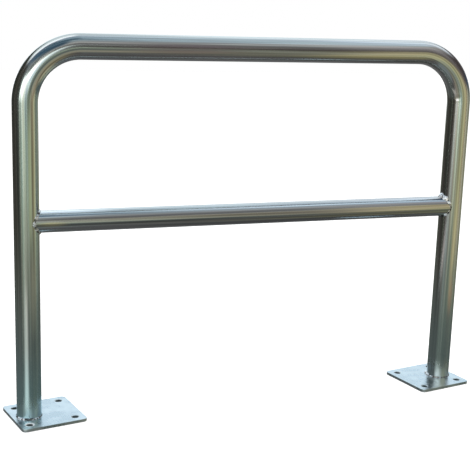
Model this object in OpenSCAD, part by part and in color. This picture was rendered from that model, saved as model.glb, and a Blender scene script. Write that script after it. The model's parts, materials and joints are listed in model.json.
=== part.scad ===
// Steel safety barrier: a bent tube hoop with a middle rail, welded to two drilled base plates.
// The origin is on the ground midway between the posts. X runs along the barrier, and Z is up.

/* [Hoop] */
// Height of the top of the hoop above the ground
hoop_h = 1000; // [800:10:1200]
// Distance between the centre lines of the two posts
post_pitch = 1226; // [900:2:1600]
// Outside diameter of the hoop tube
tube_d = 65; // [60:1:76]
// Wall thickness of the hoop tube
tube_wall = 2.5; // [2:0.1:4]
// Radius of the two bends, at the middle of the tube
bend_r = 140; // [120:1:220]

/* [Middle rail] */
// Outside diameter of the middle rail
rail_d = 57; // [33:1:57]
// Wall thickness of the middle rail
rail_wall = 2.5; // [2:0.1:4]
// Height of the rail's centre line above the ground
rail_z = 528; // [300:1:560]

/* [Base plates] */
// Side of each square base plate
plate_side = 176; // [170:1:220]
// Thickness of the base plates
plate_t = 8; // [5:0.5:12]
// Radius of the plate corners
plate_corner_r = 12; // [3:1:15]
// How far the plate's middle lies inward of its post
plate_shift = 42; // [0:1:44]
// Turn of both plates about their posts, as they were welded on
plate_turn = 11; // [0:1:15]
// Diameter of the anchor holes
hole_d = 18; // [12:1:20]
// Spacing of the anchor holes, the same both ways
hole_pitch = 124; // [120:1:130]

/* [Welds] */
// Leg of the weld bead round each foot
foot_leg = 4; // [3:0.5:8]
// Leg of the weld bead round each end of the middle rail
rail_leg = 4; // [3:0.5:6]
// How far a bead's face bulges, as a share of its leg
bead_bulge = 0.22; // [0.1:0.02:0.3]
// How much each ripple swells a bead, as a share of its leg
ripple_swell = 0.16; // [0:0.02:0.24]
// Number of ripples round a bead
ripple_count = 48; // [24:2:60]

/* [Hidden] */
$fn = 96;

tube_r = tube_d / 2;
rail_r = rail_d / 2;
post_x = post_pitch / 2;
// Where each post ends and its bend begins
bend_z = hoop_h - tube_r - bend_r;
// Half the length of the straight top rail
top_half = post_x - bend_r;

// Three sections of a bead for each of its ripples
bead_steps = 3 * ripple_count;
// Where the points of a bead's bulging face lie between its two toes
bead_face = [0.25, 0.5, 0.75];
// Slow swells that the welder's hand leaves along a bead, as shares of its leg
hand_swell = [0.07, 0.05];
// How many of each slow swell there are round a bead
hand_waves = [3, 7];

zinc = "#c3cdcf";
zinc_rail = "#b9c4c8";
zinc_plate = "#cddbe0";
bead_grey = "#a8b3b2";

// Wall of a round tube, seen along the tube
module ring(diameter, wall) {
    difference() {
        circle(d = diameter);
        circle(d = diameter - 2 * wall);
    }
}

// One post of the hoop, standing on its base plate
module post() {
    translate([post_x, 0, plate_t])
        linear_extrude(bend_z - plate_t)
            ring(tube_d, tube_wall);
}

// Quarter bend from the right post up into the top rail
module bend() {
    translate([top_half, 0, bend_z])
        rotate([90, 0, 0])
            rotate_extrude(angle = 90)
                translate([bend_r, 0])
                    ring(tube_d, tube_wall);
}

// Straight top rail between the two bends
module top_rail() {
    translate([-top_half, 0, bend_z + bend_r])
        rotate([0, 90, 0])
            linear_extrude(2 * top_half)
                ring(tube_d, tube_wall);
}

// The hoop is one length of tube with two bends
module hoop() {
    color(zinc)
        union() {
            top_rail();
            for (side = [0, 1])
                mirror([side, 0, 0]) {
                    bend();
                    post();
                }
        }
}

// Middle rail, with its ends cut to saddles that fit round the posts
module middle_rail() {
    color(zinc_rail)
        difference() {
            translate([-post_x, 0, rail_z])
                rotate([0, 90, 0])
                    linear_extrude(post_pitch)
                        ring(rail_d, rail_wall);
            for (side = [-1, 1])
                translate([side * post_x, 0, rail_z - rail_d])
                    cylinder(d = tube_d, h = 2 * rail_d);
        }
}

// Outline of a square plate with rounded corners
module plate_outline() {
    inner = plate_side - 2 * plate_corner_r;
    square([plate_side, inner], center = true);
    square([inner, plate_side], center = true);
    for (x = [-1, 1], y = [-1, 1])
        translate([x, y] * inner / 2)
            circle(r = plate_corner_r);
}

// One base plate with its four anchor holes. side is -1 on the left and 1 on the right
module base_plate(side) {
    translate([side * post_x, 0, 0])
        rotate([0, 0, plate_turn])
            translate([-side * plate_shift, 0, 0])
                difference() {
                    linear_extrude(plate_t)
                        plate_outline();
                    for (x = [-1, 1], y = [-1, 1])
                        translate([x * hole_pitch / 2, y * hole_pitch / 2, -1])
                            cylinder(d = hole_d, h = plate_t + 2);
                }
}

module left_base_plate() {
    color(zinc_plate) base_plate(-1);
}

module right_base_plate() {
    color(zinc_plate) base_plate(1);
}

// Size of a bead at an angle round its run: even ripples on slow swells
function swell(turn, start) =
    1 + ripple_swell * abs(sin(ripple_count / 2 * turn))
    + hand_swell[0] * sin(hand_waves[0] * turn + start)
    + hand_swell[1] * sin(hand_waves[1] * turn + 2 * start);

// Points of a bead's bulging face, from one toe to the other, over the corner that it fills
function face_points(corner, toe_a, toe_b, leg) =
    let (middle = (toe_a + toe_b) / 2 - corner, outward = middle / norm(middle))
    [
        for (t = bead_face)
            (1 - t) * toe_a + t * toe_b + 4 * t * (1 - t) * bead_bulge * leg * outward
    ];

// Section of the bead round a foot: its corner, the toe on the post, the face, the toe on the plate
function foot_section(turn, start) =
    let (
        leg = foot_leg * swell(turn, start),
        out = [cos(turn), sin(turn), 0],
        corner = tube_r * out + [0, 0, plate_t],
        toe_plate = corner + leg * out,
        toe_post = corner + [0, 0, leg]
    )
    concat([corner, toe_post], face_points(corner, toe_post, toe_plate, leg), [toe_plate]);

// Point on a post, from its distance round the post and its height. The post's axis is at the origin
function on_post(around, height) =
    let (angle = around / tube_r * 180 / PI)
    [tube_r * cos(angle), tube_r * sin(angle), height];

// Section of the bead at an angle round the rail. It follows the saddle line where rail and post meet:
// one toe lies along the rail, and the other leaves the saddle line squarely round the post
function saddle_section(turn, start) =
    let (
        leg = rail_leg * swell(turn, start),
        lean = sqrt(1 - pow(rail_r * cos(turn) / tube_r, 2)),
        around = tube_r * asin(rail_r * cos(turn) / tube_r) * PI / 180,
        height = rail_z + rail_r * sin(turn),
        away = [cos(turn), sin(turn) / lean],
        step = away / norm(away),
        corner = on_post(around, height),
        toe_rail = corner + [leg, 0, 0],
        toe_post = on_post(around + leg * step.x, height + leg * step.y),
        post_side = on_post(around + leg / 2 * step.x, height + leg / 2 * step.y)
    )
    concat([corner, toe_rail], face_points(corner, toe_rail, toe_post, leg), [toe_post, post_side]);

// Closed ring of sections joined into one bead
module bead(sections) {
    rings = len(sections);
    around = len(sections[0]);
    polyhedron(
        points = [for (section = sections) each section],
        faces = [
            for (i = [0 : rings - 1], j = [0 : around - 1])
                let (
                    here = i * around,
                    next = (i + 1) % rings * around,
                    k = (j + 1) % around
                )
                each [
                    [here + j, next + k, here + k],
                    [here + j, next + j, next + k]
                ]
        ]
    );
}

module foot_weld(side, start) {
    color(bead_grey)
        translate([side * post_x, 0, 0])
            bead([
                for (i = [0 : bead_steps - 1])
                    foot_section(360 * i / bead_steps, start)
            ]);
}

module rail_weld(side, start) {
    color(bead_grey)
        translate([side * post_x, 0, 0])
            mirror([side > 0 ? 1 : 0, 0, 0])
                bead([
                    for (i = [0 : bead_steps - 1])
                        saddle_section(360 * i / bead_steps, start)
                ]);
}

module left_foot_weld() {
    foot_weld(-1, 40);
}

module right_foot_weld() {
    foot_weld(1, 150);
}

module left_rail_weld() {
    rail_weld(-1, 260);
}

module right_rail_weld() {
    rail_weld(1, 10);
}

hoop();
middle_rail();
left_base_plate();
right_base_plate();
left_foot_weld();
right_foot_weld();
left_rail_weld();
right_rail_weld();
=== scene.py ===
# %% [markdown]
# # A zinc-plated safety barrier
# The real barrier is one length of round steel tube, bent twice into a hoop, with a thinner rail across
# its middle and a drilled plate welded under each foot. All of it is zinc plated after welding, so every
# surface is bright, a little streaky along the tube, and full of reflections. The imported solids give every
# size and place. This lesson loads them, remakes each one as a finer mesh in the same place, and gives it
# its finish.

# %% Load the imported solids
import math

import bmesh
import bpy
from mathutils import Matrix, Vector, noise
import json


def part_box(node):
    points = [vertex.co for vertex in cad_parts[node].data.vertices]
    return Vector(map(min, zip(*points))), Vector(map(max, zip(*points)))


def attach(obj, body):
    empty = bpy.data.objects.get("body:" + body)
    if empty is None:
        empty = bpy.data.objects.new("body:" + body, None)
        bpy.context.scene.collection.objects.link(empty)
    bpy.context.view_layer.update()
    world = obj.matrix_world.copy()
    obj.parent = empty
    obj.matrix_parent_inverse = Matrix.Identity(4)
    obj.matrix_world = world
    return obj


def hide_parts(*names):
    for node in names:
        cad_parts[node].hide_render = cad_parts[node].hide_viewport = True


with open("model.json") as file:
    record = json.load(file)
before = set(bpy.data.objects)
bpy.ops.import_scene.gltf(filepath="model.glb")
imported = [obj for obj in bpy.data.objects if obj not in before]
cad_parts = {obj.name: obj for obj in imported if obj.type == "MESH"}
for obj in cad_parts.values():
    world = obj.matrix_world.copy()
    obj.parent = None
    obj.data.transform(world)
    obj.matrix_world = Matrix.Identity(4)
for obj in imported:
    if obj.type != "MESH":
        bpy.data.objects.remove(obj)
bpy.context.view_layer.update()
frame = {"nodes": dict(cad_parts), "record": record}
print("nodes:", sorted(frame["nodes"]))

# %% [markdown]
# ## Sizes
# Nothing is measured twice. The boxes of the solids and the mounts in the record already say how thick the
# tubes are, how high the rails lie and where the anchor holes are, so the finer pieces are worked out from
# them. They could be typed in again, but then two lists would have to agree. Only what a box can't tell,
# such as the radius of a bend, is written here as a real size.

# %% Read the sizes from the solids
hoop_low, hoop_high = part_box("hoop")
rail_low, rail_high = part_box("middle_rail")
TUBE_R = hoop_high.y
POST_X = hoop_high.x - TUBE_R
HOOP_TOP = hoop_high.z
PLATE_T = hoop_low.z
RAIL_R = rail_high.y
RAIL_Z = (rail_low.z + rail_high.z) / 2
TUBE_WALL = 0.0025
BEND_R = 0.140
BEND_Z = HOOP_TOP - TUBE_R - BEND_R
TOP_HALF = POST_X - BEND_R
SIDES = {"left": -1, "right": 1}
print(f"tube {2 * TUBE_R:.3f} m, rail {2 * RAIL_R:.3f} m at {RAIL_Z:.3f} m, posts {2 * POST_X:.3f} m apart")

# %% Read the base plates' sizes from their mounts
MOUNTS = {mount["name"]: mount for mount in frame["record"]["mounts"]}
HOLE_R = MOUNTS["left_anchor_holes"]["dims"]["hole_r_mm"] / 1000
HOLE_PITCH = MOUNTS["left_anchor_holes"]["dims"]["pcd_mm"] / 1000 / math.sqrt(2)
PLATE_CENTRE = {side: Vector(MOUNTS[f"{side}_plate_underside"]["pos_m"]) for side in SIDES}
shift = PLATE_CENTRE["left"] - Vector((-POST_X, 0, 0))
PLATE_TURN = math.atan2(shift.y, shift.x)
PLATE_SIDE = 0.176
PLATE_CORNER_R = 0.012
print(f"plates turned {math.degrees(PLATE_TURN):.1f} degrees, holes {HOLE_PITCH:.3f} m apart")

# %% [markdown]
# ## The camera
# The photograph looks at the barrier from its left, from about the height of the top rail, and a little
# down. Its place, heading and tilt were worked out from how the posts lean together and how the rails
# close in on each other. A constraint could aim it at the barrier, but a photograph is also tilted a
# little on its side. A camera looks along its own -Z with +Y up, so its matrix is built from the three
# directions of its frame, with that roll in it.

# %% Place the camera
CAMERA_PLACE = Vector((-0.9614, -2.5424, 1.0697))
CAMERA_HEADING = math.radians(-19.67)
CAMERA_TILT = math.radians(-12.53)
CAMERA_ROLL = math.radians(1.78)
SENSOR_MM = 36.0
LENS_MM = 77.85


def add_camera():
    """A camera at the photograph's viewing angle."""
    turn, tilt = CAMERA_HEADING, CAMERA_TILT
    ahead = Vector((-math.sin(turn) * math.cos(tilt), math.cos(turn) * math.cos(tilt), math.sin(tilt)))
    level = Vector((math.cos(turn), math.sin(turn), 0))
    upward = level.cross(ahead)
    right = level * math.cos(CAMERA_ROLL) + upward * math.sin(CAMERA_ROLL)
    up = upward * math.cos(CAMERA_ROLL) - level * math.sin(CAMERA_ROLL)
    camera = bpy.data.objects.new("camera", bpy.data.cameras.new("camera"))
    camera.data.sensor_width = SENSOR_MM
    camera.data.lens = LENS_MM
    axes = Matrix((right, up, -ahead)).transposed()
    camera.matrix_world = Matrix.Translation(CAMERA_PLACE) @ axes.to_4x4()
    bpy.context.scene.collection.objects.link(camera)
    return camera


camera = add_camera()
bpy.context.scene.camera = camera
bpy.context.scene.view_settings.view_transform = "Standard"
print("camera at", tuple(round(v, 3) for v in CAMERA_PLACE))

# %% [markdown]
# ## Building shader trees
# Every finish and the studio itself are made of nodes. They could be wired by hand in the shader editor,
# but in code the same few steps come back again and again. Nine short helpers keep the trees readable: one
# starts a material, one starts a node group, one plugs a value in, one fills several sockets by name, one
# splits a vector, one does sums, one mixes two colours, one maps a range onto another, and one looks a
# colour up on a ramp.

# %% Helpers for node trees
def start_material(name):
    """A new material with only its Principled shader."""
    material = bpy.data.materials.new(name)
    material.use_nodes = True
    return material, material.node_tree, material.node_tree.nodes["Principled BSDF"]


def start_group(name, inputs, outputs):
    """A node group with named sockets, what it is given and what it puts out."""
    group = bpy.data.node_groups.new(name, "ShaderNodeTree")
    for way, sockets in (("INPUT", inputs), ("OUTPUT", outputs)):
        for socket, kind in sockets.items():
            group.interface.new_socket(socket, in_out=way, socket_type=f"NodeSocket{kind}")
    given = group.nodes.new("NodeGroupInput").outputs
    return group, given, group.nodes.new("NodeGroupOutput").inputs


def plug(tree, value, socket):
    """Link a socket, or set a plain value."""
    if isinstance(value, bpy.types.NodeSocket):
        tree.links.new(value, socket)
    else:
        socket.default_value = value


def fill(node, values):
    """Plug a value into each named socket of a node."""
    for name, value in values.items():
        plug(node.id_data, value, node.inputs[name])


def split_up(tree, vector):
    """The x, y and z of a vector."""
    node = tree.nodes.new("ShaderNodeSeparateXYZ")
    tree.links.new(vector, node.inputs[0])
    return node.outputs


def calc(tree, operation, *values, clamp=False):
    """A Math node. Returns its result."""
    node = tree.nodes.new("ShaderNodeMath")
    node.operation = operation
    node.use_clamp = clamp
    for value, socket in zip(values, node.inputs):
        plug(tree, value, socket)
    return node.outputs[0]


# A Mix node has sockets for each kind of value. These are the ones for colours
MIX_FIRST = 6
MIX_SECOND = 7
MIX_RESULT = 2


def blend(tree, factor, first, second, way="MIX"):
    """A colour Mix node. Returns the mixed colour."""
    node = tree.nodes.new("ShaderNodeMix")
    node.data_type = "RGBA"
    node.blend_type = way
    plug(tree, factor, node.inputs["Factor"])
    plug(tree, first, node.inputs[MIX_FIRST])
    plug(tree, second, node.inputs[MIX_SECOND])
    return node.outputs[MIX_RESULT]


def remap(tree, value, low, high, to_low=0.0, to_high=1.0, smooth=True):
    """A Map Range node, eased at its ends."""
    node = tree.nodes.new("ShaderNodeMapRange")
    node.interpolation_type = "SMOOTHSTEP" if smooth else "LINEAR"
    for number, socket in zip((value, low, high, to_low, to_high), node.inputs):
        plug(tree, number, socket)
    return node.outputs[0]


def ramp(tree, value, stops):
    """A Color Ramp node, eased between stops of (place, (r, g, b)). Returns the colour."""
    node = tree.nodes.new("ShaderNodeValToRGB")
    node.color_ramp.interpolation = "EASE"
    elements = node.color_ramp.elements
    while len(elements) < len(stops):
        elements.new(1.0)
    for element, (place, colour) in zip(elements, stops):
        element.position = place
        element.color = (*colour, 1.0)
    plug(tree, value, node.inputs[0])
    return node.outputs[0]


print("node helpers ready")

# %% [markdown]
# ## The studio
# Polished metal has hardly any colour of its own: it shows the room. So the room is built with care. The
# camera sees plain white. What the metal mirrors is a soft studio, pale blue overhead and warm grey near
# the floor, with cards hung round it as a photographer would hang them: a bright window low at the front
# left, dark cards that draw the edges of the posts, and a warm patch at the right. It is all in the
# world's shader, because a room that lies far off is simplest as a colour for each direction, and it puts
# up no walls that another view would run into.

# %% A node group for one card
WHITE = (1.0, 1.0, 1.0, 1.0)
PLAIN_LIGHT = (0.9, 0.9, 0.9, 1.0)
# Just over one, so that the card's sums hold straight up and straight down too
OVER_ONE = 1.0001


def make_card_group():
    """How much a direction falls on a card, by the card's bearing, its size and its softness."""
    inputs = {"Direction": "Vector", "Toward": "Vector"}
    inputs.update({name: "Float" for name in ("Half Width", "Low", "High", "Soft")})
    group, given, result = start_group("studio_card", inputs, {"Mask": "Float"})
    z = split_up(group, given["Direction"])["Z"]
    level = calc(group, "SQRT", calc(group, "SUBTRACT", OVER_ONE, calc(group, "MULTIPLY", z, z)))
    facing = group.nodes.new("ShaderNodeVectorMath")
    facing.operation = "DOT_PRODUCT"
    group.links.new(given["Direction"], facing.inputs[0])
    group.links.new(given["Toward"], facing.inputs[1])
    away = calc(group, "ARCCOSINE", calc(group, "DIVIDE", facing.outputs["Value"], level))
    past_side = calc(group, "SUBTRACT", calc(group, "DEGREES", away), given["Half Width"])
    height = calc(group, "DEGREES", calc(group, "ARCSINE", z))
    past_top = calc(group, "SUBTRACT", height, given["High"])
    past_foot = calc(group, "SUBTRACT", given["Low"], height)
    past = calc(group, "MAXIMUM", past_side, calc(group, "MAXIMUM", past_top, past_foot))
    mask = remap(group, calc(group, "DIVIDE", past, given["Soft"]), -1.0, 1.0, 1.0, 0.0)
    group.links.new(mask, result["Mask"])
    return group


CARD_GROUP = make_card_group()
print("card group has", len(CARD_GROUP.nodes), "nodes")

# %% The room that the metal mirrors
# The colours of the room over the height of the view, in degrees from straight down to straight up
WALL = [
    (-90, (0.095, 0.095, 0.095)), (-64, (0.10, 0.105, 0.105)), (-50, (0.11, 0.11, 0.105)),
    (-36, (0.10, 0.10, 0.09)), (-27, (0.10, 0.11, 0.105)), (-20, (0.105, 0.13, 0.125)),
    (-14, (0.15, 0.16, 0.14)), (-7, (0.17, 0.175, 0.14)), (2, (0.105, 0.10, 0.09)),
    (14, (0.145, 0.14, 0.135)), (28, (0.26, 0.26, 0.265)), (44, (0.50, 0.50, 0.505)),
    (60, (0.56, 0.69, 0.79)), (72, (0.50, 0.63, 0.73)), (82, (0.42, 0.54, 0.63)),
    (90, (0.42, 0.54, 0.63)),
]
# Each card's colour, bearing to the right of straight ahead, half width, lower and upper edge, and softness
CARDS = {
    "right_ceiling": ((0.88, 1.11, 1.25), 98, 44, 50, 70, 8),
    "back_wall": ((0.95, 1.10, 1.19), 172, 84, -2, 56, 6),
    "left_ceiling": ((1.30, 1.44, 1.55), -148, 44, 44, 78, 6),
    "plate_sky": ((0.74, 0.88, 0.98), 180, 50, 21, 29, 1.5),
    "left_floor": ((0.12, 0.135, 0.13), -118, 56, -60, -16, 3),
    "left_wing": ((0.055, 0.055, 0.048), -117, 49, -15, 38, 4),
    "blue_card": ((0.06, 0.12, 0.19), -50, 48, 38, 62, 6),
    "blue_high": ((0.08, 0.14, 0.20), -39, 72, 61, 80, 5),
    "blue_zenith": ((0.28, 0.39, 0.49), 0, 180, 78, 95, 4),
    "right_floor": ((0.34, 0.34, 0.25), 72, 40, -13, -4, 4),
    "window_glow": ((0.42, 0.49, 0.39), -20, 34, -13, -3, 7),
    "window_foot": ((0.80, 0.88, 0.73), -21, 13, -9, -2, 4),
    "window": ((1.62, 1.68, 1.60), -27, 32, -2.5, 19, 4),
    "window_core": ((3.0, 2.98, 2.95), -30, 23, 4, 18, 5),
    "right_wing": ((0.09, 0.078, 0.078), 97, 40, -3, 30, 5),
    "blue_patch": ((0.05, 0.11, 0.22), 102, 13, 0, 10, 5),
    "near_bar": ((0.07, 0.07, 0.055), 56, 6, -11, 5, 3),
    "near_strip": ((0.54, 0.57, 0.40), 76, 8, -13, 4, 4),
    "far_bar": ((0.28, 0.30, 0.20), 103, 8, -14, 4, 4),
    "far_strip": ((0.48, 0.49, 0.38), 130, 8, -12, 3, 4),
    "back_floor": ((0.16, 0.165, 0.17), 178, 48, -60, -28, 8),
    "tan_floor": ((0.24, 0.23, 0.14), 50, 14, -54, -26, 8),
    "bend_strip": ((0.42, 0.41, 0.29), 98, 32, -46, -26, 4),
    "teal_floor": ((0.20, 0.25, 0.25), -32, 48, -84, -46, 8),
}


def add_card(tree, direction, below, card):
    """Hang a card over what has been hung before."""
    colour, bearing, half_width, low, high, soft = card
    toward = math.radians(bearing)
    mask = tree.nodes.new("ShaderNodeGroup")
    mask.node_tree = CARD_GROUP
    fill(mask, {
        "Direction": direction, "Toward": (math.sin(toward), -math.cos(toward), 0), "Half Width": half_width,
        "Low": low, "High": high, "Soft": soft,
    })
    return blend(tree, mask.outputs["Mask"], below, (*colour, 1.0))


def add_room(tree):
    """The colour that the metal sees in each direction."""
    direction = tree.nodes.new("ShaderNodeTexCoord").outputs["Generated"]
    height = calc(tree, "DEGREES", calc(tree, "ARCSINE", split_up(tree, direction)["Z"]))
    share = remap(tree, height, -90.0, 90.0, smooth=False)
    room = ramp(tree, share, [((degrees + 90) / 180, colour) for degrees, colour in WALL])
    for card in CARDS.values():
        room = add_card(tree, direction, room, card)
    return room


print("room made of", len(CARDS), "cards")

# %% Put the room round the barrier
def add_world():
    """White to the camera, the room to the metal, and plain light to all else."""
    world = bpy.data.worlds.new("studio")
    world.use_nodes = True
    tree = world.node_tree
    tree.nodes.clear()
    path = tree.nodes.new("ShaderNodeLightPath")
    mirrored = calc(tree, "MAXIMUM", path.outputs["Is Glossy Ray"], path.outputs["Is Transmission Ray"])
    seen = blend(tree, mirrored, PLAIN_LIGHT, add_room(tree))
    seen = blend(tree, path.outputs["Is Camera Ray"], seen, WHITE)
    background = tree.nodes.new("ShaderNodeBackground")
    output = tree.nodes.new("ShaderNodeOutputWorld")
    tree.links.new(seen, background.inputs["Color"])
    tree.links.new(background.outputs[0], output.inputs["Surface"])
    bpy.context.scene.world = world
    return world


world = add_world()
print("world:", world.name)

# %% [markdown]
# ## The floor
# The floor is plain and pale, like the white paper of a photographer's studio, and takes the barrier's
# soft shadow. A strong lamp could make it white, but that lamp would wash out the metal too. So the floor
# gives off a little light of its own, which only the camera sees.

# %% Add the floor
FLOOR_HALF = 14.0
FLOOR_GREY = (0.8, 0.8, 0.8, 1.0)
FLOOR_GLOW = 0.5


def add_floor():
    """A pale floor under the barrier, which is no part of it."""
    bpy.ops.object.select_all(action="DESELECT")
    bpy.ops.mesh.primitive_plane_add(size=2 * FLOOR_HALF, location=(0, 0, 0))
    floor = bpy.context.object
    floor.name = "floor"
    paper, tree, shader = start_material("paper_white")
    path = tree.nodes.new("ShaderNodeLightPath")
    glow = calc(tree, "MULTIPLY", path.outputs["Is Camera Ray"], FLOOR_GLOW)
    fill(shader, {
        "Base Color": FLOOR_GREY, "Roughness": 1.0, "Specular IOR Level": 0.0, "Emission Color": WHITE,
        "Emission Strength": glow,
    })
    floor.data.materials.append(paper)
    floor.visible_glossy = False
    return floor


floor = add_floor()
print("floor is", 2 * FLOOR_HALF, "m wide")

# %% [markdown]
# ## Cards close to the barrier
# Some streaks on the real tubes are mirrored from things that are near, and they drift along a tube as no
# far room makes them. Four glowing cards stand in for those things: a fan on the floor that opens from the
# left foot, a low tan card in front of the middle rail, a tall one in front of the right post and a small
# bright one at the left bend. Lamps could do it too, but they would light the floor as well. A card is
# mirrored in the metal and does nothing else: it isn't seen, lights nothing dull and throws no shadow. Its
# soft outline is a mask in its own x and y.

# %% A glowing card that only the metal sees
BLACK = (0.0, 0.0, 0.0, 1.0)


def add_reflector(name, colour, mask_at):
    """A glowing card, one metre square, with a soft outline."""
    bpy.ops.object.select_all(action="DESELECT")
    bpy.ops.mesh.primitive_plane_add(size=1, location=(0, 0, 0))
    card = bpy.context.object
    card.name = name
    glow, tree, shader = start_material(name)
    x, y, _ = split_up(tree, tree.nodes.new("ShaderNodeTexCoord").outputs["Object"])
    fill(shader, {
        "Base Color": BLACK, "Specular IOR Level": 0.0, "Emission Color": (*colour, 1.0),
        "Emission Strength": 1.0, "Alpha": mask_at(tree, x, y),
    })
    card.data.materials.append(glow)
    for ray in ("camera", "diffuse", "shadow"):
        setattr(card, f"visible_{ray}", False)
    return card


print("card maker ready")

# %% Lay the fan on the floor
FAN_COLOUR = (0.78, 0.80, 0.75)
FAN_BEARING = math.radians(-25)
FAN_LENGTH = 1.5
FAN_LIFT = 0.001
# The fan's half width at its point, how much it grows over its length, and the share of it at full strength
FAN_POINT = 0.014
FAN_SPREAD = 0.68
FAN_CORE = 0.1
# Where along its length it begins, is at full strength and begins to fade
FAN_START = 0.06
FAN_FULL = 0.075
FAN_FADE = 0.7


def fan_mask(tree, x, y):
    """A fan that opens from the card's far edge towards the viewer."""
    ahead = calc(tree, "SUBTRACT", 0.5, y)
    edge = calc(tree, "MULTIPLY_ADD", ahead, FAN_SPREAD, FAN_POINT)
    across = remap(tree, calc(tree, "DIVIDE", calc(tree, "ABSOLUTE", x), edge), FAN_CORE, 1.0, 1.0, 0.0)
    bright = calc(tree, "MULTIPLY", across, remap(tree, ahead, FAN_FADE, 1.0, 1.0, 0.0))
    return calc(tree, "MULTIPLY", bright, remap(tree, ahead, FAN_START, FAN_FULL))


fan_reflector = add_reflector("fan_reflector", FAN_COLOUR, fan_mask)
fan_reflector.scale = (1.0, FAN_LENGTH, 1.0)
fan_reflector.rotation_euler.z = FAN_BEARING
fan_reflector.location = (
    -POST_X + FAN_LENGTH / 2 * math.sin(FAN_BEARING), -FAN_LENGTH / 2 * math.cos(FAN_BEARING), FAN_LIFT
)
print("fan is", FAN_LENGTH, "m long")

# %% Stand the other three cards up
# Each card's colour, then its left, right, lower and upper edge and how far in front of the barrier it is,
# then the shares of its size over which its left end, right end and long edges fade, and how much of it shows
UPRIGHT_CARDS = {
    "rail_reflector": ((0.58, 0.54, 0.40), (-0.54, 0.80, 0.22, 0.84, 0.65), (0.08, 0.10, 0.30, 0.38)),
    "tan_reflector": ((0.56, 0.51, 0.31), (0.52, 2.20, -0.10, 1.12, 0.95), (0.28, 0.08, 0.22, 1.0)),
    "bend_reflector": ((1.3, 1.34, 1.3), (-0.72, -0.55, 0.835, 0.925, 0.25), (0.3, 0.3, 0.35, 1.0)),
}


def long_mask(left_fade, right_fade, upright_fade, show):
    """The mask of a card whose ends and long edges fade."""
    def mask_at(tree, x, y):
        left = remap(tree, x, -0.5, left_fade - 0.5, 0.0, show)
        right = remap(tree, x, 0.5 - right_fade, 0.5, 1.0, 0.0)
        upright = remap(tree, calc(tree, "ABSOLUTE", y), 0.5 - upright_fade, 0.5, 1.0, 0.0)
        return calc(tree, "MULTIPLY", calc(tree, "MULTIPLY", left, right), upright)
    return mask_at


def stand_card(card, left, right, low, high, front):
    """Stand a card upright, facing the barrier, at a distance in front of it."""
    card.scale = (right - left, high - low, 1.0)
    card.rotation_euler.x = math.pi / 2
    card.location = ((left + right) / 2, -front, (low + high) / 2)


for name, (colour, edges, fades) in UPRIGHT_CARDS.items():
    stand_card(add_reflector(name, colour, long_mask(*fades)), *edges)
print("upright cards:", list(UPRIGHT_CARDS))

# %% [markdown]
# ## The lamp
# One wide lamp hangs high up behind the barrier and lays its soft shadow on the floor. A small lamp or a
# sun would draw a hard shadow. The metal doesn't mirror the lamp, because the room already holds all that
# it should show.

# %% Hang one soft lamp
LAMP_PLACE = (0.2, 0.9, 3.4)
LAMP_AIM = (0, 0, 0.5)
LAMP_WIDTH = 2.4
LAMP_DEPTH = 1.6
LAMP_POWER = 40.0


def add_soft_box(name, place, aim, width, depth, power):
    """A rectangular soft lamp at place, facing aim."""
    light = bpy.data.lights.new(name, "AREA")
    light.shape = "RECTANGLE"
    light.size = width
    light.size_y = depth
    light.energy = power
    lamp = bpy.data.objects.new(name, light)
    lamp.location = place
    lamp.rotation_euler = (Vector(aim) - Vector(place)).to_track_quat("-Z", "Y").to_euler()
    lamp.visible_glossy = False
    bpy.context.scene.collection.objects.link(lamp)
    return lamp


ceiling_lamp = add_soft_box("ceiling_lamp", LAMP_PLACE, LAMP_AIM, LAMP_WIDTH, LAMP_DEPTH, LAMP_POWER)
print(ceiling_lamp.name, "of", LAMP_POWER, "W in place")

# %% [markdown]
# ## Modelling by hand
# The pieces are shaped with Blender's own operators, as a person would at the keyboard. An operator works
# on whatever is selected, so each piece starts with nothing selected, and what an edit needs is picked out
# in code.

# %% Helpers for modelling
def begin():
    """Leave nothing selected."""
    if bpy.context.object and bpy.context.object.mode != "OBJECT":
        bpy.ops.object.mode_set(mode="OBJECT")
    bpy.ops.object.select_all(action="DESELECT")


def only(piece):
    """Select one piece and make it the active one."""
    begin()
    piece.select_set(True)
    bpy.context.view_layer.objects.active = piece


def settle(piece):
    """Put a finished piece's place, turn and size into its mesh."""
    only(piece)
    bpy.ops.object.transform_apply(location=True, rotation=True, scale=True)


def apply_modifier(piece, kind, **settings):
    """Add a modifier, set it up and apply it."""
    only(piece)
    modifier = piece.modifiers.new(kind.lower(), kind)
    for name, value in settings.items():
        setattr(modifier, name, value)
    bpy.ops.object.modifier_apply(modifier=modifier.name)


def smooth(piece, degrees):
    """Smooth shading, except across edges sharper than an angle."""
    only(piece)
    bpy.ops.object.shade_smooth_by_angle(angle=math.radians(degrees))


def report(piece):
    """Say what a piece has come to."""
    triangles = sum(len(face.vertices) - 2 for face in piece.data.polygons)
    print(f"{piece.name}: {triangles} triangles")


print("modelling helpers ready")

# %% [markdown]
# ## The hoop
# On the real barrier this is one tube that a bending machine has turned twice. It is modelled in the same
# way: a circle at the left foot is extruded up, spun through the first bend, extruded along the top, spun
# through the second bend and extruded down to the right foot. A Solidify modifier then gives the skin its
# wall. A curve with a round bevel would be quicker, but this way each stretch has exactly the faces that
# it needs.

# %% Bend the hoop
TUBE_FACETS = 96
BEND_STEPS = 40
MERGE_WITHIN = 0.00001
TUBE_SMOOTH = 40


def extrude_by(x, y, z):
    """Extrude the selected edges by a distance."""
    bpy.ops.mesh.extrude_region_move(TRANSFORM_OT_translate={"value": (x, y, z)})


def spin_bend(centre_x):
    """Spin the selected ring a quarter turn about the middle of a bend."""
    bpy.ops.mesh.spin(
        steps=BEND_STEPS, angle=math.pi / 2, center=(centre_x, 0, BEND_Z), axis=(0, -1, 0)
    )


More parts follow.
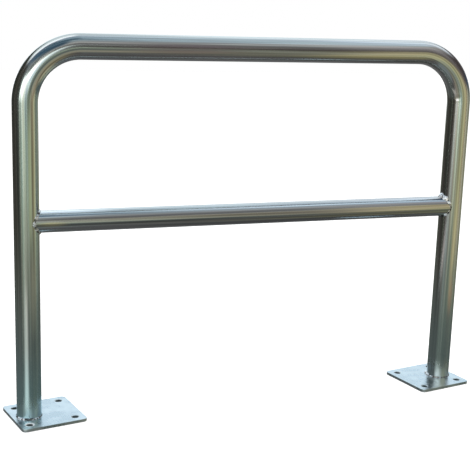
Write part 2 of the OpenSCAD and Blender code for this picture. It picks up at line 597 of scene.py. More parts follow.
def wall_tube(piece):
    """Close up a tube's skin, face it outwards and give it its wall."""
    only(piece)
    bpy.ops.object.mode_set(mode="EDIT")
    bpy.ops.mesh.select_all(action="SELECT")
    bpy.ops.mesh.remove_doubles(threshold=MERGE_WITHIN)
    bpy.ops.mesh.normals_make_consistent(inside=False)
    bpy.ops.object.mode_set(mode="OBJECT")
    apply_modifier(piece, "SOLIDIFY", thickness=TUBE_WALL, offset=-1.0, use_even_offset=True)


def make_hoop():
    """The hoop, from its left foot round to its right foot."""
    begin()
    bpy.ops.mesh.primitive_circle_add(
        vertices=TUBE_FACETS, radius=TUBE_R, fill_type="NOTHING", location=(-POST_X, 0, PLATE_T)
    )
    hoop = bpy.context.object
    hoop.name = "hoop_tube"
    settle(hoop)
    bpy.ops.object.mode_set(mode="EDIT")
    bpy.ops.mesh.select_all(action="SELECT")
    extrude_by(0, 0, BEND_Z - PLATE_T)
    spin_bend(-TOP_HALF)
    extrude_by(2 * TOP_HALF, 0, 0)
    spin_bend(TOP_HALF)
    extrude_by(0, 0, PLATE_T - BEND_Z)
    bpy.ops.object.mode_set(mode="OBJECT")
    wall_tube(hoop)
    smooth(hoop, TUBE_SMOOTH)
    report(hoop)
    return hoop


hoop = make_hoop()

# %% [markdown]
# ## The middle rail
# Each end of the real rail is cut to a saddle, so that it fits round its post. The rail is extruded
# straight, given its wall, and then every point of its two ends slides along the tube until it meets the
# post. That is the same cut as a boolean would make, with cleaner faces.

# %% Make the rail and fit its ends to the posts
def saddle_x(y):
    """How far from a post's centre line its skin lies, at a distance y to the side."""
    return math.sqrt(TUBE_R**2 - y**2)


def make_rail():
    """The middle rail between the posts."""
    begin()
    reach = POST_X - TUBE_R
    bpy.ops.mesh.primitive_circle_add(
        vertices=TUBE_FACETS, radius=RAIL_R, fill_type="NOTHING",
        location=(-reach, 0, RAIL_Z), rotation=(0, math.pi / 2, 0),
    )
    rail = bpy.context.object
    rail.name = "middle_rail_tube"
    settle(rail)
    bpy.ops.object.mode_set(mode="EDIT")
    bpy.ops.mesh.select_all(action="SELECT")
    extrude_by(2 * reach, 0, 0)
    bpy.ops.object.mode_set(mode="OBJECT")
    wall_tube(rail)
    for vertex in rail.data.vertices:
        side = math.copysign(1, vertex.co.x)
        vertex.co.x = side * (POST_X - saddle_x(vertex.co.y))
    smooth(rail, TUBE_SMOOTH)
    report(rail)
    return rail


rail = make_rail()

# %% [markdown]
# ## The base plates
# The plates are cut from 8 mm plate, with rounded corners and four drilled holes, and sit a little turned
# under their posts. An outline with holes could be drawn flat and extruded. Here a cube is scaled to size,
# its four upright edges are bevelled to the corner radius and the holes are cut with a boolean, in the
# same order as in a workshop. The rims of the holes are chamfered, and a last fine bevel breaks every
# sharp edge, because it is that narrow edge that catches the light. Both plates are alike, so one is
# modelled and each post gets a copy of it.

# %% Helpers for a plate's edges and holes
HOLE_FACETS = 48
RIM_CHAMFER = 0.0014
# An edge is on a hole's rim if it lies within these shares of the hole's radius and the plate's thickness
RIM_REACH = 1.01
RIM_LEVEL = 0.99


def bevel_edges(piece, wanted, **settings):
    """Bevel the edges that a test picks out."""
    only(piece)
    bpy.ops.object.mode_set(mode="EDIT")
    bpy.ops.mesh.select_mode(type="EDGE")
    bpy.ops.mesh.select_all(action="DESELECT")
    mesh = bmesh.from_edit_mesh(piece.data)
    for edge in mesh.edges:
        edge.select_set(wanted(edge))
    bmesh.update_edit_mesh(piece.data)
    bpy.ops.mesh.bevel(**settings)
    bpy.ops.object.mode_set(mode="OBJECT")


def is_upright(edge):
    """Whether an edge runs up through the plate."""
    a, b = (vertex.co for vertex in edge.verts)
    return abs(a.z - b.z) > PLATE_T / 2


def is_rim(edge):
    """Whether an edge lies on the top rim of one of the four holes."""
    for vertex in edge.verts:
        x, y, z = vertex.co
        out = math.hypot(abs(x) - HOLE_PITCH / 2, abs(y) - HOLE_PITCH / 2)
        if out >= RIM_REACH * HOLE_R or z <= RIM_LEVEL * PLATE_T:
            return False
    return True


def drill(plate):
    """Cut the four anchor holes through a plate that is centred on the origin."""
    for x in (-1, 1):
        for y in (-1, 1):
            begin()
            bpy.ops.mesh.primitive_cylinder_add(
                vertices=HOLE_FACETS, radius=HOLE_R, depth=4 * PLATE_T,
                location=(x * HOLE_PITCH / 2, y * HOLE_PITCH / 2, PLATE_T / 2),
            )
            cutter = bpy.context.object
            apply_modifier(plate, "BOOLEAN", operation="DIFFERENCE", object=cutter, solver="EXACT")
            bpy.data.objects.remove(cutter)


print("plate helpers ready")

# %% Cut one plate
CORNER_STEPS = 8
EDGE_BREAK = 0.0007
BREAK_STEPS = 2
BREAK_ANGLE = math.radians(60)


def store_flat(plate):
    """Store each point's place on the plate before the plate is turned and moved."""
    flat = plate.data.attributes.new("flat", "FLOAT_VECTOR", "POINT")
    for vertex in plate.data.vertices:
        flat.data[vertex.index].vector = vertex.co


def make_plate():
    """A base plate, square to the axes and centred on the origin."""
    begin()
    bpy.ops.mesh.primitive_cube_add(
        size=1, location=(0, 0, PLATE_T / 2), scale=(PLATE_SIDE, PLATE_SIDE, PLATE_T)
    )
    plate = bpy.context.object
    plate.name = "plate_pattern"
    settle(plate)
    bevel_edges(plate, is_upright, offset=PLATE_CORNER_R, segments=CORNER_STEPS)
    drill(plate)
    bevel_edges(plate, is_rim, offset=RIM_CHAMFER, segments=1)
    apply_modifier(
        plate, "BEVEL", width=EDGE_BREAK, segments=BREAK_STEPS, limit_method="ANGLE", angle_limit=BREAK_ANGLE
    )
    store_flat(plate)
    report(plate)
    return plate


plate_pattern = make_plate()

# %% Put a copy under each post
PLATE_SMOOTH = 18


def place_plate(pattern, side):
    """A copy of the plate with its own mesh, turned and moved under its post."""
    only(pattern)
    bpy.ops.object.duplicate(linked=False)
    plate = bpy.context.object
    plate.name = f"{side}_base_plate_steel"
    plate.rotation_euler.z = PLATE_TURN
    plate.location = PLATE_CENTRE[side]
    settle(plate)
    smooth(plate, PLATE_SMOOTH)
    report(plate)
    return plate


plates = {side: place_plate(plate_pattern, side) for side in SIDES}
bpy.data.objects.remove(plate_pattern)

# %% [markdown]
# ## The weld beads
# A weld is laid by hand, drop by drop, so a bead is a row of ripples with slow swells where the hand
# paused. It could be swept along a curve, but its two toes spread in directions that change all the way
# round. Each bead starts as a torus, because that has the right number of points in the right order. Every
# point is then moved to where the bead really lies. Round a foot, that is the corner between the plate and
# the post. Round an end of the rail it is the saddle line, and there one toe of the bead lies along the
# rail and the other runs squarely off round the post.

# %% The size of a bead at each point
FOOT_LEG = 0.004
RAIL_LEG = 0.004
RIPPLES = 64
RIPPLE_DEPTH = 0.2
# How far the ripples lag at the bead's edges and wander along it, and how much the swells change its size
EDGE_LAG = 0.9
WANDER = 2.2
SLOW_SWELL = 0.28
QUICK_SWELL = 0.16
SWELL_SPREAD = 1.3


def uneven(turn, seed):
    """A smooth, uneven value from -1 to 1 round a bead, the same in each run."""
    return noise.noise(Vector((SWELL_SPREAD * math.cos(turn), SWELL_SPREAD * math.sin(turn), seed)))


def nearness(turn, place, width):
    """One at a lump's middle, fading away from it. Its place and width are in degrees."""
    away = math.remainder(turn - math.radians(place), 2 * math.pi) / math.radians(width)
    return math.exp(-away * away)


def bead_leg(leg, turn, across, seed, lumps):
    """The leg of a bead at one point, with its ripples, its swells and its lumps."""
    lag = EDGE_LAG * abs(across - 0.5)
    beat = RIPPLES / 2 * turn + WANDER * uneven(3 * turn, seed) + lag
    size = 1 + RIPPLE_DEPTH * (abs(math.sin(beat)) - 0.5)
    size += SLOW_SWELL * uneven(turn, seed + 5)
    size += QUICK_SWELL * uneven(4 * turn, seed + 9)
    for place, width, height, _ in lumps:
        size += height * nearness(turn, place, width)
    return leg * size


def painted_glint_share(turn, lumps):
    """How much a point lies on a painted glint, a bright spot laid where the hand paused."""
    return min(sum(shine * nearness(turn, place, width) for place, width, _, shine in lumps), 1.0)


print("beads have legs of", FOOT_LEG, "m and", RIPPLES, "ripples")

# %% The section of a bead
BULGE = 0.24
SINK = 0.0004


def bead_point(corner, first_toe, second_toe, share, leg):
    """A point on a bead's section. share goes from 0 to 1 over its face and from 1 to 2 back under it."""
    if share <= 1:
        middle = (first_toe + second_toe) / 2 - corner
        outward = middle.normalized() if middle.length else Vector((0, 0, 1))
        rise = 4 * share * (1 - share) * BULGE * leg
        return first_toe.lerp(second_toe, share) + outward * rise
    back = share - 1
    if back < 0.5:
        return second_toe.lerp(corner, 2 * back)
    return corner.lerp(first_toe, 2 * back - 1)


print("bead sections ready")

# %% Where the beads lie
def foot_corner(turn, leg):
    """The corner between plate and post at an angle, and the bead's toes on the post and on the plate."""
    out = Vector((math.cos(turn), math.sin(turn), 0))
    corner = (TUBE_R - SINK) * out + Vector((0, 0, PLATE_T - SINK))
    return corner, corner + Vector((0, 0, leg)), corner + leg * out


def on_post(around, height):
    """A point just under a post's skin, from its distance round the post and its height."""
    angle = around / TUBE_R
    radius = TUBE_R - SINK
    return Vector((radius * math.cos(angle), radius * math.sin(angle), height))


def saddle_corner(turn, leg):
    """The saddle line at an angle round the rail, and the bead's toes on the rail and on the post."""
    reach = RAIL_R - SINK
    lean = math.sqrt(1 - (reach * math.cos(turn) / TUBE_R) ** 2)
    around = TUBE_R * math.asin(reach * math.cos(turn) / TUBE_R)
    height = reach * math.sin(turn)
    away = Vector((math.cos(turn), math.sin(turn) / lean)).normalized()
    corner = on_post(around, height)
    return corner, corner + Vector((leg, 0, 0)), on_post(around + leg * away.x, height + leg * away.y)


print("bead paths ready")

# %% Shape a bead on its path
RUN_STEPS = 384
SECTION_STEPS = 20
BEAD_SMOOTH = 60


def make_bead(name, corner_at, leg, seed, lumps, place, mirrored=False):
    """A bead: a torus whose points are moved onto its path."""
    begin()
    bpy.ops.mesh.primitive_torus_add(
        major_segments=RUN_STEPS, minor_segments=SECTION_STEPS, major_radius=TUBE_R, minor_radius=leg / 2
    )
    bead = bpy.context.object
    bead.name = name
    painted_glints = bead.data.attributes.new("painted_glint", "FLOAT", "POINT")
    for vertex in bead.data.vertices:
        x, y, z = vertex.co
        turn = math.atan2(y, x)
        slope = math.atan2(z, math.hypot(x, y) - TUBE_R) % (2 * math.pi)
        share = slope / math.pi
        face_share = min(share, 1.0)
        size = bead_leg(leg, turn, face_share, seed, lumps)
        # Each point stores how strong a painted glint it gets
        painted_glints.data[vertex.index].value = painted_glint_share(turn, lumps)
        point = bead_point(*corner_at(turn, size), share, size)
        if mirrored:
            point.x = -point.x
        vertex.co = point + place
    only(bead)
    bpy.ops.object.mode_set(mode="EDIT")
    bpy.ops.mesh.select_all(action="SELECT")
    bpy.ops.mesh.normals_make_consistent(inside=False)
    bpy.ops.object.mode_set(mode="OBJECT")
    smooth(bead, BEAD_SMOOTH)
    report(bead)
    return bead


print("bead maker ready")

# %% Lay the four beads
# Each lump's place round the bead, its width, how much it swells or thins the bead, and how bright its
# painted glint is
FOOT_LUMPS = {
    "left": [
        (216, 13, 0.3, 1.0), (238, 8, 0.2, 0.6), (290, 10, 0.1, 0.4), (350, 35, -0.62, 0.0),
        (170, 22, -0.55, 0.0),
    ],
    "right": [(150, 15, 0.9, 1.0), (178, 10, 0.6, 0.9), (240, 36, -0.1, 0.45), (325, 30, -0.4, 0.1)],
}
RAIL_LUMPS = {
    "left": [
        (108, 16, 0.1, 0.7), (150, 12, 0.3, 0.6), (182, 10, 0.5, 0.6), (210, 10, 0.4, 0.5),
        (235, 10, 0.2, 0.3),
    ],
    "right": [(95, 17, 1.9, 1.0), (126, 11, 1.5, 1.0), (156, 8, 0.5, 0.9), (225, 8, 0.3, 0.8)],
}
# Where in the noise the beads' swells are read
FOOT_SEED = 3.1
RAIL_SEED = 7.7
beads = {}
for side, sign in SIDES.items():
    foot = Vector((sign * POST_X, 0, 0))
    joint = Vector((sign * POST_X, 0, RAIL_Z))
    beads[f"{side}_foot_weld"] = make_bead(
        f"{side}_foot_bead", foot_corner, FOOT_LEG, FOOT_SEED + sign, FOOT_LUMPS[side], foot
    )
    beads[f"{side}_rail_weld"] = make_bead(
        f"{side}_rail_bead", saddle_corner, RAIL_LEG, RAIL_SEED + sign, RAIL_LUMPS[side], joint,
        mirrored=sign > 0,
    )

# %% [markdown]
# ## The zinc finish
# Zinc on drawn tube keeps the fine lines of the drawing, which run along the tube and round its bends. A
# pattern on plain object coordinates would cut straight across a bend. So each point of a tube stores
# where it would lie if the tube were still straight, and the streaks are drawn in those coordinates.

# %% Store the straightened tube on each point
def straighten_hoop(point):
    """Where a point of the hoop would lie if the hoop were one straight tube along Z."""
    side = math.copysign(1, point.x)
    out = max(abs(point.x) - TOP_HALF, 0.0)
    up = max(point.z - BEND_Z, 0.0)
    if up <= 0:
        offset, along = abs(point.x) - POST_X, point.z
    elif out <= 0:
        offset = point.z - BEND_Z - BEND_R
        along = BEND_Z + BEND_R * math.pi / 2 + TOP_HALF - abs(point.x)
    else:
        offset, along = math.hypot(out, up) - BEND_R, BEND_Z + BEND_R * math.atan2(up, out)
    middle = BEND_Z + BEND_R * math.pi / 2 + TOP_HALF
    return Vector((offset, point.y, side * (middle - along)))


def straighten_rail(point):
    """The rail is straight already: its length is turned to lie along Z."""
    return Vector((point.z - RAIL_Z, point.y, point.x))


def store_straight(piece, straighten):
    """Store the straightened place of each point."""
    straight = piece.data.attributes.new("straight", "FLOAT_VECTOR", "POINT")
    for vertex in piece.data.vertices:
        straight.data[vertex.index].vector = straighten(vertex.co)


store_straight(hoop, straighten_hoop)
store_straight(rail, straighten_rail)
print("straightened coordinates stored")

# %% [markdown]
# The streaks, the faint tints that passivation leaves and the fine bump of the draw lines are used by
# every tube, so they are one node group. Copies of the same nodes in each material would drift apart. It
# only puts out a colour, a roughness and a height, and each material feeds these to its own shader.

# %% Noise along a tube
def noise_texture(tree, vector, size_across, size_along, detail=2.0, roughness=0.5):
    """Noise that is stretched along Z. Sizes are in metres."""
    scaled = tree.nodes.new("ShaderNodeVectorMath")
    scaled.operation = "MULTIPLY"
    scaled.inputs[1].default_value = (1 / size_across, 1 / size_across, 1 / size_along)
    plug(tree, vector, scaled.inputs[0])
    texture = tree.nodes.new("ShaderNodeTexNoise")
    fill(texture, {"Vector": scaled.outputs[0], "Scale": 1.0, "Detail": detail, "Roughness": roughness})
    return texture.outputs["Fac"]


# The size of each pattern across and along the tube
BROAD_SIZE = (0.016, 1.1)
STREAK_SIZE = (0.0055, 0.7)
LINE_SIZE = (0.0016, 0.35)
CLOUD_SIZE = (0.05, 0.08)
print("streaks are", STREAK_SIZE[0], "m wide and", STREAK_SIZE[1], "m long")

# %% A node group for streaked zinc
# Distances from the middle of the top rail along the tube: its warm tint fades out over the first pair, the
# streaks and tints calm down over the second, and the weld's heat dulls the zinc over the third
LEVEL_FROM = 0.40
LEVEL_TO = 0.62
CALM_FROM = 1.10
CALM_TO = 1.42
DULL_FROM = 1.44
DULL_TO = 1.495
# The tints over the broad pattern, blue to green, straw, rose and violet
TINTS = [
    (0.28, (0.72, 0.88, 1.0)), (0.40, (0.90, 1.0, 0.92)), (0.50, (1.0, 0.98, 0.88)),
    (0.60, (1.0, 0.88, 0.86)), (0.72, (0.86, 0.86, 0.96)),
]
CALM_TINT = (0.88, 1.0, 0.99, 1.0)
LEVEL_TINT = (1.0, 0.94, 0.92, 1.0)
LEVEL_SHARE = 0.55
# The noise between the darkest and the brightest streaks, how dark and bright these are, and how even the
# zinc is where they have calmed down
STREAK_RANGE = (0.34, 0.66)
STREAK_DARK = 0.66
STREAK_BRIGHT = 1.16
CALM_SHADE = (0.92, 0.92, 0.92, 1.0)
CALM_SHARE = 0.75
# What the streaks, the clouds and the weld's heat add to the roughness, and a line's height beside a streak's
STREAK_ROUGH = 0.16
CLOUD_ROUGH = 0.10
DULL_ROUGH = 0.16
LINE_HEIGHT = 0.35


def make_zinc_group():
    """Streaked zinc: colour, roughness and height over a straightened tube."""
    group, given, result = start_group(
        "streaked_zinc",
        {"Vector": "Vector", "Base": "Color", "Tint": "Float", "Roughness": "Float"},
        {"Color": "Color", "Roughness": "Float", "Height": "Float"},
    )
    vector = given["Vector"]
    along = calc(group, "ABSOLUTE", split_up(group, vector)["Z"])
    calm = remap(group, along, CALM_FROM, CALM_TO)
    level = remap(group, along, LEVEL_TO, LEVEL_FROM, 0.0, LEVEL_SHARE)
    broad = noise_texture(group, vector, *BROAD_SIZE)
    streak = noise_texture(group, vector, *STREAK_SIZE)
    line = noise_texture(group, vector, *LINE_SIZE, detail=3.0)
    cloud = noise_texture(group, vector, *CLOUD_SIZE, detail=4.0)
    tints = blend(group, calm, ramp(group, broad, TINTS), CALM_TINT)
    tints = blend(group, level, tints, LEVEL_TINT)
    colour = blend(group, given["Tint"], given["Base"], tints, way="MULTIPLY")
    shade = remap(group, streak, *STREAK_RANGE, STREAK_DARK, STREAK_BRIGHT)
    shade = blend(group, calc(group, "MULTIPLY", calm, CALM_SHARE), shade, CALM_SHADE)
    colour = blend(group, 1.0, colour, shade, way="MULTIPLY")
    rough = given["Roughness"]
    rough = calc(group, "MULTIPLY_ADD", calc(group, "SUBTRACT", streak, 0.5), STREAK_ROUGH, rough)
    rough = calc(group, "MULTIPLY_ADD", calc(group, "SUBTRACT", cloud, 0.5), CLOUD_ROUGH, rough, clamp=True)
    rough = calc(group, "ADD", rough, remap(group, along, DULL_FROM, DULL_TO, 0.0, DULL_ROUGH))
    height = calc(group, "MULTIPLY_ADD", line, LINE_HEIGHT, streak)
    for name, value in (("Color", colour), ("Roughness", rough), ("Height", height)):
        group.links.new(value, result[name])
    return group


ZINC_GROUP = make_zinc_group()
print("zinc group has", len(ZINC_GROUP.nodes), "nodes")

# %% [markdown]
# ## Painted reflections and a dent
# Some bands that the tubes mirror are painted into their colour as soft spots. The left post has a painted
# green highlight, a painted dark band, a painted tan reflection and a painted teal reflection at its foot,
# the top rail a painted rose reflection and a painted straw reflection, the right post a painted rust-tan
# band, and the middle rail's left end a painted highlight along its top and a painted straw band. They could
# be painted on an image. A soft spot for each, by its place and size, needs no image and is easily moved.
# Handling leaves small dents. The dent at the right bend is so shallow that it shows only in what the metal
# mirrors, so it is bump, and the bump of the draw lines lies over it.

# %% Helpers for bumps, stored values and painted reflections
def make_bump(tree, height, distance, strength=1.0, over=None):
    """The normal that a height field gives, over another normal if there is one."""
    bump = tree.nodes.new("ShaderNodeBump")
    fill(bump, {"Strength": strength, "Distance": distance, "Height": height})
    if over:
        fill(bump, {"Normal": over})
    return bump.outputs[0]


def stored(tree, name):
    """What each point has stored under a name."""
    node = tree.nodes.new("ShaderNodeAttribute")
    node.attribute_name = name
    return node.outputs


def away_from(tree, place, size=(1.0, 1.0, 1.0)):
    """How far each point lies from a place, in metres or as a share of a size along each axis."""
    result = tree.nodes.new("ShaderNodeTexCoord").outputs["Object"]
    for operation, given in (("SUBTRACT", place), ("DIVIDE", size), ("LENGTH", None)):
        step = tree.nodes.new("ShaderNodeVectorMath")
        step.operation = operation
        tree.links.new(result, step.inputs[0])
        if given:
            step.inputs[1].default_value = given
        result = step.outputs["Value" if operation == "LENGTH" else "Vector"]
    return result


print("material helpers ready")

# %% Where the painted reflections and the dent are
# Each painted reflection's place and size, its colour and its strength
HOOP_PAINTED_REFLECTIONS = {
    "painted green highlight": ((0.0055 - POST_X, -TUBE_R, 0.66), (0.0058, 0.02, 0.28), (0.83, 1.00, 0.78), 0.90),
    "painted dark band": ((0.0120 - POST_X, -TUBE_R, 0.66), (0.0040, 0.02, 0.28), (0.30, 0.32, 0.26), 0.90),
    "painted tan reflection": ((0.0102 - POST_X, -TUBE_R, 0.34), (0.0130, 0.02, 0.15), (0.98, 0.95, 0.82), 0.75),
    "painted teal foot": ((-POST_X, 0.0, 0.0), (0.10, 0.10, 0.24), (0.58, 0.85, 0.92), 0.80),
    "painted rose reflection": ((-0.21, -TUBE_R, 0.966), (0.22, 0.02, 0.017), (0.54, 0.45, 0.50), 0.80),
    "painted straw reflection": ((0.30, -TUBE_R, 0.9520), (0.28, 0.02, 0.010), (0.82, 0.78, 0.60), 0.85),
    "painted rust-tan band": ((POST_X + 0.0035, -TUBE_R, 0.26), (0.010, 0.02, 0.08), (1.00, 0.80, 0.68), 0.80),
}
# Painted reflections on the middle rail's left end: a painted highlight along its top and a painted straw
# band on its front
RAIL_PAINTED_REFLECTIONS = {
    "painted highlight on top": ((-0.53, -0.014, 0.553), (0.18, 0.014, 0.014), (1.00, 1.00, 1.00), 0.95),
    "painted straw band": ((-0.555, -RAIL_R, 0.525), (0.06, 0.02, 0.008), (1.00, 0.90, 0.62), 0.80),
}
# The share of a painted reflection's size over which it has its full strength
REFLECTION_CORE = 0.2
# The dent lies just above the start of the right bend, on the side that faces the window
DENT_BEARING = math.radians(-37)
DENT_RISE = 0.0165
DENT_R = 0.011
DENT_DEPTH = 0.0007
DENT_PLACE = (
    POST_X + TUBE_R * math.sin(DENT_BEARING), -TUBE_R * math.cos(DENT_BEARING), BEND_Z + DENT_RISE
)
print(len(HOOP_PAINTED_REFLECTIONS) + len(RAIL_PAINTED_REFLECTIONS), "stains, and a dent at", tuple(round(v, 3) for v in DENT_PLACE))

# %% Make the tube materials
LINE_DEPTH = 0.0004
LINE_STRENGTH = 0.35


def make_tube_zinc(name, base, tint, roughness, painted_reflections, dent_place=None):
    """Streaked zinc on a tube, with its painted reflections, and with a dent if its place is given."""
    material, tree, shader = start_material(name)
    zinc = tree.nodes.new("ShaderNodeGroup")
    zinc.node_tree = ZINC_GROUP
    straight = stored(tree, "straight")["Vector"]
    fill(zinc, {"Vector": straight, "Base": (*base, 1.0), "Tint": tint, "Roughness": roughness})
    colour = zinc.outputs["Color"]
    # Each painted reflection mixes the colour towards a brighter, darker or tinted band that the tube mirrors
    for place, size, reflection_colour, strength in painted_reflections.values():
        away = away_from(tree, place, size)
        colour = blend(tree, remap(tree, away, REFLECTION_CORE, 1.0, strength, 0.0), colour, (*reflection_colour, 1.0))
    dented = None
    if dent_place:
        dent = remap(tree, away_from(tree, dent_place), 0.0, DENT_R, -1.0, 0.0)
        dented = make_bump(tree, dent, DENT_DEPTH)
    lined = make_bump(tree, zinc.outputs["Height"], LINE_DEPTH, LINE_STRENGTH, over=dented)
    fill(shader, {
        "Base Color": colour, "Metallic": 1.0, "Roughness": zinc.outputs["Roughness"], "Normal": lined,
    })
    return material


HOOP_ZINC = make_tube_zinc(
    "hoop_zinc", base=(0.65, 0.67, 0.68), tint=0.8, roughness=0.16, painted_reflections=HOOP_PAINTED_REFLECTIONS, dent_place=DENT_PLACE
)
RAIL_ZINC = make_tube_zinc(
    "rail_zinc", base=(0.62, 0.64, 0.66), tint=0.6, roughness=0.16, painted_reflections=RAIL_PAINTED_REFLECTIONS
)
print("tube finishes made")

# %% [markdown]
# ## The plates' finish
# Rolled plate has no draw lines. Its zinc is cool and cloudy. A pale, dull ring round each hole is a painted
# highlight, the walls inside are darkened with painted shade, and the hole in front of the left post has a
# wider painted highlight ring. Rings could be modelled or painted one by one. But all of them follow the
# distance to the nearest hole, and every point has stored its place on the flat plate, so one sum serves all
# eight holes.

# %% How far it is to a hole
def hole_distance(tree):
    """How far a point of a plate lies from the middle of the nearest hole, and its height."""
    x, y, height = split_up(tree, stored(tree, "flat")["Vector"])
    squares = []
    for share in (x, y):
        away = calc(tree, "SUBTRACT", calc(tree, "ABSOLUTE", share), HOLE_PITCH / 2)
        squares.append(calc(tree, "MULTIPLY", away, away))
    return calc(tree, "SQRT", calc(tree, "ADD", *squares)), height


print("holes have a radius of", HOLE_R, "m")

# %% Make the plate material
PLATE_CLOUDS = [(0.35, (0.57, 0.65, 0.70)), (0.65, (0.70, 0.77, 0.81))]
PLATE_CLOUD_SIZE = 0.035
PLATE_GRAIN_SIZE = 0.002
GRAIN_DEPTH = 0.0002
GRAIN_STRENGTH = 0.2
# The noise between the smoothest and the roughest clouds, and how smooth and rough these are
CLOUD_RANGE = (0.3, 0.7)
PLATE_SMOOTHEST = 0.24
PLATE_ROUGHEST = 0.36
# The colour of the painted highlight ring round each hole, and the painted shade on the walls inside the
# holes
RIM_HIGHLIGHT_COLOUR = (0.88, 0.95, 0.98, 1.0)
HOLE_SHADE_COLOUR = (0.20, 0.24, 0.26, 1.0)
# How wide the painted highlight ring round a hole is, and how wide it is round the hole in front of the left
# post
RIM_WIDTH = 0.0035
RING_HIGHLIGHT_WIDTH = 0.0046
RING_HIGHLIGHT_OFFSET = Vector((-HOLE_PITCH / 2, -HOLE_PITCH / 2, 0))
RING_HIGHLIGHT_PLACE = PLATE_CENTRE["left"] + Matrix.Rotation(PLATE_TURN, 3, "Z") @ RING_HIGHLIGHT_OFFSET
# How much the painted highlight ring shows round a hole, and how much more round the hole in front of the
# left post
RIM_HIGHLIGHT_SHOW = 0.25
RING_HIGHLIGHT_SHOW = 0.6
# How much the painted highlight ring adds to the roughness and takes from the metal
RIM_HIGHLIGHT_ROUGH = 0.30
RIM_HIGHLIGHT_DULL = 0.8


def make_plate_zinc():
    """Zinc on rolled plate: flat, cool, with soft clouds, painted highlight rings round the holes and painted
    shade on the walls inside.
    """
    material, tree, shader = start_material("plate_zinc")
    place = tree.nodes.new("ShaderNodeTexCoord").outputs["Object"]
    cloud = noise_texture(tree, place, PLATE_CLOUD_SIZE, PLATE_CLOUD_SIZE, detail=4.0)
    grain = noise_texture(tree, place, PLATE_GRAIN_SIZE, PLATE_GRAIN_SIZE, detail=3.0)
    distance, height = hole_distance(tree)
    # The painted highlight ring is wider round the hole in front of the left post
    front_hole_highlight = remap(tree, away_from(tree, RING_HIGHLIGHT_PLACE), 2 * HOLE_R, 3 * HOLE_R, 1.0, 0.0)
    width = calc(tree, "MULTIPLY_ADD", front_hole_highlight, RING_HIGHLIGHT_WIDTH - RIM_WIDTH, HOLE_R + RIM_WIDTH)
    rim = remap(tree, calc(tree, "SUBTRACT", distance, width), -RIM_WIDTH / 2, 0.0, 1.0, 0.0)
    below = remap(tree, height, PLATE_T - 2 * RIM_CHAMFER, PLATE_T - RIM_CHAMFER, 1.0, 0.0)
    # Below the chamfer the walls inside the holes get painted shade, and above it the rim gets a painted
    # highlight
    inside = calc(tree, "MULTIPLY", rim, below)
    # The strength of the painted highlight ring round each hole
    pale = calc(tree, "MULTIPLY", rim, calc(tree, "MULTIPLY_ADD", front_hole_highlight, RING_HIGHLIGHT_SHOW, RIM_HIGHLIGHT_SHOW))
    rim_highlight = calc(tree, "MULTIPLY", calc(tree, "SUBTRACT", 1.0, inside), pale)
    colour = blend(tree, pale, ramp(tree, cloud, PLATE_CLOUDS), RIM_HIGHLIGHT_COLOUR)
    colour = blend(tree, inside, colour, HOLE_SHADE_COLOUR)
    rough = remap(tree, cloud, *CLOUD_RANGE, PLATE_SMOOTHEST, PLATE_ROUGHEST)
    fill(shader, {
        "Base Color": colour,
        "Metallic": calc(tree, "MULTIPLY_ADD", rim_highlight, -RIM_HIGHLIGHT_DULL, 1.0),
        "Roughness": calc(tree, "MULTIPLY_ADD", pale, RIM_HIGHLIGHT_ROUGH, rough),
        "Normal": make_bump(tree, grain, GRAIN_DEPTH, GRAIN_STRENGTH),
    })
    return material


PLATE_ZINC = make_plate_zinc()
# The place of the wider painted highlight ring
print("plate finish made, washer mark at", tuple(round(v, 3) for v in RING_HIGHLIGHT_PLACE))

# %% [markdown]
# ## The beads' finish
# The zinc on a weld is dark and burnt between bright flecks. Where a large drop set, a bright spot is a
# painted glint. One noise over the whole bead would scatter light and dark evenly. So each point of a bead
# has also stored how much painted glint it gets, and there the flecks are lifted to the bright end of the
# ramp.

# %% Make the bead material
BEAD_COLOURS = [(0.48, (0.07, 0.07, 0.07)), (0.56, (0.30, 0.31, 0.30)), (0.63, (0.88, 0.95, 1.0))]
BURN_TINTS = [(0.48, (1.0, 1.0, 1.0)), (0.62, (0.95, 0.80, 0.72))]
BURN_SHARE = 0.7
FLECK_SIZE = 0.0050
BURN_SIZE = 0.018
FLECK_DEPTH = 0.0012
FLECK_STRENGTH = 0.9
# The noise between burnt zinc and bright flecks, and how rough each is
FLECK_RANGE = (0.45, 0.6)
BURNT_ROUGH = 0.5
BRIGHT_ROUGH = 0.2
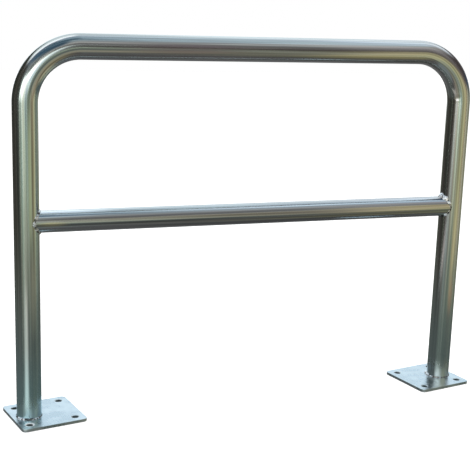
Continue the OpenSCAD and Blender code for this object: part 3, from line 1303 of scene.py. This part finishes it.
# How much a painted glint lifts the flecks, and how much it takes from the metal
GLINT_LIFT = 0.24
GLINT_DULL = 0.5


def make_bead_zinc():
    """Zinc on a weld: dull and burnt between bright flecks, and with painted glints on some large lumps."""
    material, tree, shader = start_material("bead_zinc")
    place = tree.nodes.new("ShaderNodeTexCoord").outputs["Object"]
    painted_glint = stored(tree, "painted_glint")["Fac"]
    fleck = noise_texture(tree, place, FLECK_SIZE, FLECK_SIZE, detail=4.0, roughness=0.6)
    burn = noise_texture(tree, place, BURN_SIZE, BURN_SIZE)
    # Where a painted glint lies, the flecks are lifted towards white and the metal is dulled, so the glint
    # shines under any light
    lifted = calc(tree, "MULTIPLY_ADD", painted_glint, GLINT_LIFT, fleck)
    burnt = calc(tree, "MULTIPLY_ADD", painted_glint, -BURN_SHARE, BURN_SHARE)
    colour = ramp(tree, lifted, BEAD_COLOURS)
    colour = blend(tree, burnt, colour, ramp(tree, burn, BURN_TINTS), way="MULTIPLY")
    fill(shader, {
        "Base Color": colour,
        "Metallic": calc(tree, "MULTIPLY_ADD", painted_glint, -GLINT_DULL, 1.0),
        "Roughness": remap(tree, lifted, *FLECK_RANGE, BURNT_ROUGH, BRIGHT_ROUGH),
        "Normal": make_bump(tree, fleck, FLECK_DEPTH, FLECK_STRENGTH),
    })
    return material


BEAD_ZINC = make_bead_zinc()
print("bead finish made")

# %% [markdown]
# ## Putting it together
# The real barrier is welded into one body before it is plated. The finer pieces could be joined into one
# mesh, but they stay apart, so that each takes its own finish, stands for its own solid, and rides on the
# one body.

# %% Dress the barrier
def dress(piece, material, node):
    """Give a piece its finish and let it stand for a solid."""
    piece.data.materials.clear()
    piece.data.materials.append(material)
    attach(piece, "root")
    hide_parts(node)


dress(hoop, HOOP_ZINC, "hoop")
dress(rail, RAIL_ZINC, "middle_rail")
for side, plate in plates.items():
    dress(plate, PLATE_ZINC, f"{side}_base_plate")
for node, bead in beads.items():
    dress(bead, BEAD_ZINC, node)

# %% Import json
import json
